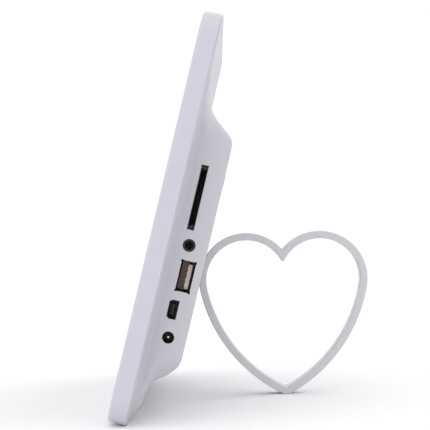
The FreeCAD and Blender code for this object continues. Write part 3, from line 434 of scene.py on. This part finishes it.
def acoustic_cloth_woven():
    """Plain-woven black acoustic cloth: a fine square weave of dull threads."""
    made, tree, shader = new_material("acoustic_cloth_woven", IOR=1.45, Roughness=0.85)
    place = node(tree, "ShaderNodeTexCoord")
    weave = [
        node(
            tree, "ShaderNodeTexWave", {"wave_type": "BANDS", "bands_direction": way},
            {"Scale": 1 / (1.6 * MM)}, {"Vector": place.outputs["Object"]},
        ).outputs["Fac"] for way in ("X", "Z")
    ]
    over = node(tree, "ShaderNodeMath", {"operation": "MAXIMUM"})
    tree.links.new(weave[0], over.inputs[0])
    tree.links.new(weave[1], over.inputs[1])
    base_mix(tree, shader, over.outputs["Value"], linear("09090a"), linear("2b2b2e"))
    bump(tree, shader, over.outputs["Value"], 0.05 * MM)
    return made


NODE_FINISH = {
    "front_bezel": abs_white_polished_painted_cool_light,
    "usb_shell": nickel_steel_painted_shade,
    "mini_usb_shell": steel_painted_shade_mini_usb,
    "card_contacts": bronze_shaded_stamped,
}
SLOT_FINISH = {
    "white_shell": abs_white_spark_eroded,
    "stand_plastic": abs_white_thick_moulded,
    "key_plastic": abs_grey_keys,
    "display_glass": glass_black_display,
    "backlight_tray": galvanised_tray,
    "sheet_steel": tinned_steel_pressed,
    "screw_steel": zinc_steel_turned,
    "circuit_board": solder_mask_board,
    "chip_resin": epoxy_chip,
    "capacitor_can": aluminium_can_drawn,
    "cell_steel": nickel_steel_drawn,
    "black_plastic": nylon_black_moulded,
    "ivory_plastic": polymer_ivory_moulded,
    "contact_brass": gold_bronze_stamped,
    "pin_metal": nickel_brass_turned,
    "ribbon_film": polyimide_film,
    "speaker_steel": steel_basket_pressed,
    "speaker_paper": paper_cone_pressed,
}


# -------------------------------------------------------------------- meshes

def mesh_object(name, points, faces, material):
    """A smooth mesh object at the origin, in the row frame, from whole arrays of points and faces."""
    mesh = bpy.data.meshes.new(name)
    mesh.from_pydata(points.tolist(), [], faces.tolist())
    mesh.polygons.foreach_set("use_smooth", np.full(len(mesh.polygons), True))
    mesh.materials.append(material)
    made = bpy.data.objects.new(name, mesh)
    bpy.context.scene.collection.objects.link(made)
    return made


LEAN = math.radians(15.0)
ACROSS = np.array([1.0, 0.0, 0.0])
TO_BACK = np.array([0.0, math.cos(LEAN), -math.sin(LEAN)])
UP_FRAME = np.array([0.0, math.sin(LEAN), math.cos(LEAN)])


def on_frame(points):
    """Points given as across, depth and height along the leaning frame, turned into the row frame.

    p = x * ACROSS + depth * TO_BACK + height * UP_FRAME.
    """
    return points @ np.stack([ACROSS, TO_BACK, UP_FRAME])


def frame_levels(name):
    """Lowest and highest across, depth and height along the frame of a CAD node."""
    mesh = NODES[name].data
    places = np.empty(len(mesh.vertices) * 3)
    mesh.vertices.foreach_get("co", places)
    turned = places.reshape(-1, 3) @ np.stack([ACROSS, TO_BACK, UP_FRAME]).T
    return turned.min(axis=0), turned.max(axis=0)


def prism(outline, low, high, inset):
    """Points and faces of a bevelled prism over a closed outline in across and height.

    Rings at depth low, at high - inset, and at high moved in by the inset towards the outline's
    own middle: q = c + (p - c) * (1 - inset / r), with r the outline's mean radius. The outline
    runs clockwise seen from the back, and both ends are closed.
    """
    count = len(outline)
    centre = outline.mean(axis=0)
    radius = np.linalg.norm(outline - centre, axis=1).mean()
    shrunk = centre + (outline - centre) * (1 - inset / radius)
    rings = [(outline, low), (outline, high - inset), (shrunk, high)]
    points = np.vstack([
        np.stack([ring[:, 0], np.full(count, level), ring[:, 1]], axis=1) for ring, level in rings
    ])
    step = np.arange(count)
    ahead = (step + 1) % count
    sides = [
        np.stack([step + start, ahead + start, ahead + start + count, step + start + count], axis=1)
        for start in (0, count)
    ]
    faces = np.vstack(sides).tolist() + [step[::-1].tolist(), (step + 2 * count).tolist()]
    return points, faces


def face_out(mesh):
    """Turn every face of a closed mesh outwards."""
    work = bmesh.new()
    work.from_mesh(mesh)
    bmesh.ops.recalc_face_normals(work, faces=work.faces)
    work.to_mesh(mesh)
    work.free()


def solid_piece(name, parts, material, body, smooth=False):
    """One closed piece made of (points, faces) parts on the frame, riding on a body."""
    points, faces, start = [], [], 0
    for part_points, part_faces in parts:
        points.append(part_points)
        faces += [[index + start for index in face] for face in part_faces]
        start += len(part_points)
    mesh = bpy.data.meshes.new(name)
    mesh.from_pydata(on_frame(np.vstack(points)).tolist(), [], faces)
    mesh.materials.append(material)
    face_out(mesh)
    mesh.polygons.foreach_set("use_smooth", np.full(len(mesh.polygons), smooth))
    made = bpy.data.objects.new(name, mesh)
    bpy.context.scene.collection.objects.link(made)
    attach(made, body)


def bar(across, height, half_x, half_z, turn=0.0):
    """Outline of a straight bar with eased ends, turned about its middle."""
    ease = min(half_x, half_z) * 0.35
    corners = np.array([
        (half_x - ease, -half_z),
        (half_x, -half_z + ease),
        (half_x, half_z - ease),
        (half_x - ease, half_z),
        (ease - half_x, half_z),
        (-half_x, half_z - ease),
        (-half_x, ease - half_z),
        (ease - half_x, -half_z),
    ])
    cosine, sine = math.cos(turn), math.sin(turn)
    return corners @ np.array([[cosine, sine], [-sine, cosine]]) + np.array([across, height])


def arrow(across, height, size, turn):
    """Outline of a three-cornered arrow head that points along a turn from +X."""
    angles = turn + np.radians([0, 128, 232])
    return np.stack([across + size * np.cos(angles), height + size * np.sin(angles)], axis=1)


def arc_band(across, height, radius, width, start, end, steps=28):
    """Outline of a flat ring's arc from one turn to another."""
    angles = np.linspace(start, end, steps)
    outer = np.stack([np.cos(angles), np.sin(angles)], axis=1) * (radius + width / 2)
    inner = np.stack([np.cos(angles[::-1]), np.sin(angles[::-1])], axis=1) * (radius - width / 2)
    return np.vstack([outer, inner]) + np.array([across, height])


# ----------------------------------------------------------------- operators

QUARTER = math.pi / 2
KEY_SYMBOLS = {
    "key_menu": [(bar, 0, 0.9, 1.5, 0.17), (bar, 0, 0, 1.5, 0.17), (bar, 0, -0.9, 1.5, 0.17)],
    "key_previous": [(arrow, 0, 0, ARROW_SIZE, 2 * QUARTER)],
    "key_up": [(arrow, 0, 0, ARROW_SIZE, QUARTER)],
    "key_down": [(arrow, 0, 0, ARROW_SIZE, -QUARTER)],
    "key_next": [(arrow, 0, 0, ARROW_SIZE, 0)],
    "key_enter": [(arc_band, 0, 0, 1.0, 0.34, 0.01, 4 * QUARTER - 0.01)],
    "key_power": [
        (arc_band, 0, 0, 1.1, 0.3, QUARTER + 0.7, QUARTER + 4 * QUARTER - 0.7),
        (bar, 0, 0.75, 0.15, 0.75),
    ],
}


class PHOTOFRAME_OT_finish_nodes(bpy.types.Operator):
    """Give every part of the frame the finish of its material slot"""
    bl_idname = "photoframe.finish_nodes"
    bl_label = "Finish the parts"

    def execute(self, context):
        slots = {part["node"]: part["material_slot"] for part in frame["record"]["subparts"]}
        made = {slot: maker() for slot, maker in SLOT_FINISH.items()}
        own = {name: maker() for name, maker in NODE_FINISH.items()}
        for name, part in NODES.items():
            for place in part.material_slots:
                place.material = own.get(name, made[slots[name]])
        return {"FINISHED"}


class PHOTOFRAME_OT_build_key_symbols(bpy.types.Operator):
    """Print one plain symbol on each key"""
    bl_idname = "photoframe.build_key_symbols"
    bl_label = "Key symbols"

    def execute(self, context):
        ink = ink_grey_printed()
        for key, shapes in KEY_SYMBOLS.items():
            low, high = frame_levels(key)
            middle_x, middle_z = (low[0] + high[0]) / 2, (low[2] + high[2]) / 2
            parts = []
            for make, *sizes in shapes:
                outline = make(*sizes) * MM + np.array([middle_x, middle_z])
                ends = high[1] - SYMBOL_SINK * MM, high[1] + SYMBOL_STAND * MM
                parts.append(prism(outline, *ends, SYMBOL_EASE * MM))
            solid_piece(key.replace("key_", "symbol_"), parts, ink, key)
        return {"FINISHED"}


class PHOTOFRAME_OT_build_card_latches(bpy.types.Operator):
    """Make the two bright latch springs just inside the ends of the card slot"""
    bl_idname = "photoframe.build_card_latches"
    bl_label = "Card slot latches"

    def execute(self, context):
        low, high = frame_levels("card_slot_body")
        metal = tinned_steel_pressed()
        middle = (low[2] + high[2]) / 2
        for name, side in (("card_latch_low", -1), ("card_latch_high", 1)):
            centre = middle + side * ((high[2] - low[2]) / 2 - LATCH_FROM_END * MM)
            latch = latch_strip(high[0] - LATCH_FROM_FACE * MM, low[1] + LATCH_DEPTH * MM, centre, side)
            solid_piece(name, [latch], metal, "frame", smooth=True)
        return {"FINISHED"}


class PHOTOFRAME_OT_build_jack_springs(bpy.types.Operator):
    """Make the curved contact springs inside the headphone socket"""
    bl_idname = "photoframe.build_jack_springs"
    bl_label = "Headphone springs"

    def execute(self, context):
        socket = next(mount for mount in frame["record"]["mounts"] if mount["name"] == "headphone_socket")
        centre = np.array(socket["pos_m"]) @ np.stack([ACROSS, TO_BACK, UP_FRAME]).T
        metal = nickel_steel_drawn()
        for name, side in (("jack_spring_low", -1), ("jack_spring_high", 1)):
            solid_piece(name, [jack_strip(centre, side)], metal, "frame", smooth=True)
        return {"FINISHED"}


class PHOTOFRAME_OT_build_display_border(bpy.types.Operator):
    """Make the printed black border and the foam gasket round the display"""
    bl_idname = "photoframe.build_display_border"
    bl_label = "Display border"

    def execute(self, context):
        low, high = frame_levels("lcd_panel")
        bezel_front = frame_levels("front_bezel")[0][1]
        centre = np.array([0.0, (low[2] + high[2]) / 2])
        half = np.array([(high[0] - low[0]) / 2, (high[2] - low[2]) / 2])
        face = low[1]
        active = np.array(ACTIVE_HALF) * MM
        border = frame_ring(centre, half, active, face - BORDER_SINK * MM, face + BORDER_STAND * MM)
        solid_piece("display_border", [border], ink_black_border(), "frame")
        ends = bezel_front + GASKET_FRONT * MM, face - GASKET_BACK * MM
        foam = frame_ring(centre, half, half - GASKET_WIDTH * MM, *ends)
        solid_piece("display_gasket", [foam], foam_black_gasket(), "frame")
        return {"FINISHED"}


class PHOTOFRAME_OT_build_speaker_cloth(bpy.types.Operator):
    """Stretch a disc of black cloth between each loudspeaker and its grille"""
    bl_idname = "photoframe.build_speaker_cloth"
    bl_label = "Loudspeaker cloth"

    def execute(self, context):
        cloth = acoustic_cloth_woven()
        for side in ("left", "right"):
            low, high = frame_levels(f"speaker_{side}")
            centre = (low + high) / 2
            radius = (high[0] - low[0]) / 2 - CLOTH_EDGE * MM
            disc = cloth_disc(centre[0], centre[2], high[1] + CLOTH_GAP * MM, radius)
            solid_piece(f"speaker_cloth_{side}", [disc], cloth, "frame", smooth=True)
        return {"FINISHED"}


def latch_strip(face, depth, height, side):
    """Bent latch spring: a strip that bows into the slot.

    Along t from 0 to 1 it runs inwards by its length and bows by LATCH_BOW * sin(pi * t) mm away
    from its end of the slot.
    """
    along = np.linspace(0, 1, 12)
    across = face - LATCH_LENGTH * MM * along
    bow = height - side * LATCH_BOW * MM * np.sin(math.pi * along)
    return strip(across, depth, bow, LATCH_HALF_WIDTH * MM, side * LATCH_THICKNESS * MM)


def jack_strip(centre, side):
    """Contact spring of the headphone socket: a strip that bulges towards the bore's axis.

    Along t from 0 to 1 it runs inwards by its length, SPRING_LEVEL - SPRING_BULGE * sin(pi * t)^2
    mm from the axis.
    """
    along = np.linspace(0, 1, 14)
    across = centre[0] + (SPRING_START - SPRING_LENGTH * along) * MM
    height = centre[2] + side * (SPRING_LEVEL - SPRING_BULGE * np.sin(math.pi * along) ** 2) * MM
    return strip(across, centre[1], height, SPRING_HALF_WIDTH * MM, side * SPRING_THICKNESS * MM)


def strip(across, depth, height, half_width, thickness):
    """A thin closed strip that follows a line of across and height, with a width in depth."""
    count = len(across)
    corners = [(-1, 0), (1, 0), (1, 1), (-1, 1)]
    points = np.stack([
        np.stack([across, np.full(count, depth + half_width * w), height + thickness * k], axis=1)
        for w, k in corners
    ], axis=1).reshape(-1, 3)
    first = np.arange(count - 1)[:, None] * 4
    sides = [
        np.hstack([first + i, first + (i + 1) % 4, first + 4 + (i + 1) % 4, first + 4 + i]) for i in range(4)
    ]
    ends = [[0, 1, 2, 3], [4 * count - 1, 4 * count - 2, 4 * count - 3, 4 * count - 4]]
    return points, np.vstack(sides).tolist() + ends


def frame_ring(centre, outer, inner, low, high):
    """A flat rectangular ring between two outlines and two depths."""
    corners = np.array([(-1, -1), (1, -1), (1, 1), (-1, 1)])
    rings = [(outer, low), (inner, low), (inner, high), (outer, high)]
    points = np.vstack([
        np.insert(centre + corners * half, 1, level, axis=1) for half, level in rings
    ])
    faces = [
        [ring * 4 + i, ring * 4 + (i + 1) % 4, (ring + 1) % 4 * 4 + (i + 1) % 4, (ring + 1) % 4 * 4 + i]
        for ring in range(4) for i in range(4)
    ]
    return points, faces


def cloth_disc(across, height, depth, radius):
    """A thin round disc that sags forwards at its middle: depth - CLOTH_SAG * (1 - (r / R)^2)."""
    reach = np.linspace(0.02, 1, CLOTH_RINGS)
    turn = np.linspace(0, 2 * math.pi, CLOTH_SIDES + 1)[:-1]
    sheets = []
    for offset in (0.0, CLOTH_THICKNESS * MM):
        x = across + radius * reach[:, None] * np.cos(turn)
        z = height + radius * reach[:, None] * np.sin(turn)
        sag = depth + offset - CLOTH_SAG * MM * (1 - reach[:, None] ** 2) * np.ones(CLOTH_SIDES)
        sheets.append(np.stack([x, sag, z], axis=2).reshape(-1, 3))
    points = np.vstack(sheets)
    size = len(sheets[0])
    faces = []
    for start in (0, size):
        for row in range(CLOTH_RINGS - 1):
            faces += ring_faces(start + row * CLOTH_SIDES, CLOTH_SIDES)
        faces.append(list(range(start, start + CLOTH_SIDES)))
    faces += ring_faces(size - CLOTH_SIDES, size)
    return points, faces


def ring_faces(start, step):
    """Quads between the ring of cloth points that begins at start and the ring a step further on."""
    ring = start + np.arange(CLOTH_SIDES)
    ahead = start + (np.arange(CLOTH_SIDES) + 1) % CLOTH_SIDES
    return np.stack([ring, ahead, ahead + step, ring + step], axis=1).tolist()


class PHOTOFRAME_OT_build_stage(bpy.types.Operator):
    """Make the paper sweep, the soft lights and the camera"""
    bl_idname = "photoframe.build_stage"
    bl_label = "Stage"

    def execute(self, context):
        build_sweep()
        build_lights()
        build_camera()
        return {"FINISHED"}


def build_sweep():
    """Round paper sweep: flat to a radius, then a quarter-round rise all the way round."""
    settings = stage_settings()
    made, tree, shader = new_material("paper_sweep", Roughness=0.9)
    shader.inputs["Base Color"].default_value = list(settings.floor)
    fibres = object_noise(tree, 2 * MM)
    bump(tree, shader, fibres.outputs["Fac"], 0.05 * MM, 0.2)
    turn = np.linspace(0, math.pi / 2, SWEEP_RISE_RINGS)[1:]
    flat = np.linspace(HUB_RADIUS, settings.floor_radius, SWEEP_FLAT_RINGS)
    radius = np.concatenate([flat, settings.floor_radius + SWEEP_RISE * np.sin(turn)])[:, None]
    height = np.concatenate([np.zeros(SWEEP_FLAT_RINGS), SWEEP_RISE * (1 - np.cos(turn))])
    angle = np.linspace(0, 2 * math.pi, SWEEP_SIDES + 1)[:-1]
    levels = np.repeat(height[:, None], SWEEP_SIDES, axis=1)
    points = np.stack([radius * np.cos(angle), radius * np.sin(angle), levels], axis=2).reshape(-1, 3)
    ring = np.arange(SWEEP_SIDES)
    ahead = (ring + 1) % SWEEP_SIDES
    starts = np.arange(len(radius) - 1)[:, None] * SWEEP_SIDES
    first = (starts + ring).ravel()
    second = (starts + ahead).ravel()
    faces = np.stack([first, first + SWEEP_SIDES, second + SWEEP_SIDES, second], axis=1)
    hub = len(points)
    points = np.vstack([points, [[0, 0, 0]]])
    cap = np.stack([ring, ahead, np.full(SWEEP_SIDES, hub)], axis=1)
    floor = mesh_object("paper_sweep", points, faces, made)
    disc = mesh_object("paper_middle", points, cap, made)


def area_light(name, place, size, power):
    """A square white soft box at a place, facing the middle of the object."""
    lamp = bpy.data.lights.new(name, "AREA")
    lamp.shape = "SQUARE"
    lamp.size = size
    lamp.energy = power
    made = bpy.data.objects.new(name, lamp)
    made.location = place
    made.rotation_euler = (Vector(LIGHT_TARGET) - Vector(place)).to_track_quat("-Z", "Y").to_euler()
    bpy.context.scene.collection.objects.link(made)


def build_lights():
    """An even white sky with three soft boxes: above the ports, in front and behind."""
    world = bpy.data.worlds.new("studio_sky")
    world.use_nodes = True
    sky = world.node_tree.nodes["Background"]
    sky.inputs["Color"].default_value = linear("ffffff")
    sky.inputs["Strength"].default_value = SKY_STRENGTH
    bpy.context.scene.world = world
    bpy.context.scene.view_settings.view_transform = "Standard"
    for light in LIGHTS:
        area_light(*light)


def build_camera():
    """Camera level with the heart, square to the side that holds the ports."""
    settings = stage_settings()
    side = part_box("front_bezel")[1].x
    rest = frame["record"]["mounts"][0]["pos_m"][1]
    place = Vector((side + settings.distance, rest + CAMERA_DEPTH, CAMERA_HEIGHT))
    aim = Vector((side, rest + AIM_DEPTH, AIM_HEIGHT))
    forward = (aim - place).normalized()
    level = forward.cross(Vector((0, 0, 1))).normalized()
    above = level.cross(forward)
    cosine, sine = math.cos(settings.roll), math.sin(settings.roll)
    right = level * cosine - above * sine
    up = level * sine + above * cosine
    lens = bpy.data.cameras.new("camera")
    lens.lens = LENS
    lens.clip_start = CLIP_START
    made = bpy.data.objects.new("camera", lens)
    turn = Matrix((right, up, -forward)).transposed()
    made.matrix_world = Matrix.Translation(place) @ turn.to_4x4()
    bpy.context.scene.collection.objects.link(made)
    bpy.context.scene.camera = made


class PHOTOFRAME_PT_panel(bpy.types.Panel):
    """Sizes, colours and build steps of the photo frame"""
    bl_idname = "PHOTOFRAME_PT_panel"
    bl_label = "Photo frame"
    bl_space_type = "VIEW_3D"
    bl_region_type = "UI"
    bl_category = "Photo frame"

    def draw(self, context):
        for group in (context.scene.photo_frame_finish, context.scene.photo_frame_stage):
            for name in group.__annotations__:
                self.layout.prop(group, name)
        for step in STEPS:
            self.layout.operator(step.bl_idname)


STEPS = (
    PHOTOFRAME_OT_build_stage,
    PHOTOFRAME_OT_finish_nodes,
    PHOTOFRAME_OT_build_key_symbols,
    PHOTOFRAME_OT_build_card_latches,
    PHOTOFRAME_OT_build_jack_springs,
    PHOTOFRAME_OT_build_display_border,
    PHOTOFRAME_OT_build_speaker_cloth,
)
CLASSES = (PhotoFrameFinish, PhotoFrameStage, *STEPS, PHOTOFRAME_PT_panel)


def register():
    """Register every class and hang the two property groups on the scene."""
    for item in CLASSES:
        bpy.utils.register_class(item)
    bpy.types.Scene.photo_frame_finish = bpy.props.PointerProperty(type=PhotoFrameFinish)
    bpy.types.Scene.photo_frame_stage = bpy.props.PointerProperty(type=PhotoFrameStage)


def unregister():
    """Take the property groups off the scene and unregister every class."""
    del bpy.types.Scene.photo_frame_stage
    del bpy.types.Scene.photo_frame_finish
    for item in reversed(CLASSES):
        bpy.utils.unregister_class(item)


def main():
    """Register the add-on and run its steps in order."""
    register()
    for step in STEPS:
        area, name = step.bl_idname.split(".")
        getattr(getattr(bpy.ops, area), name)()


if __name__ == "__main__":
    main()
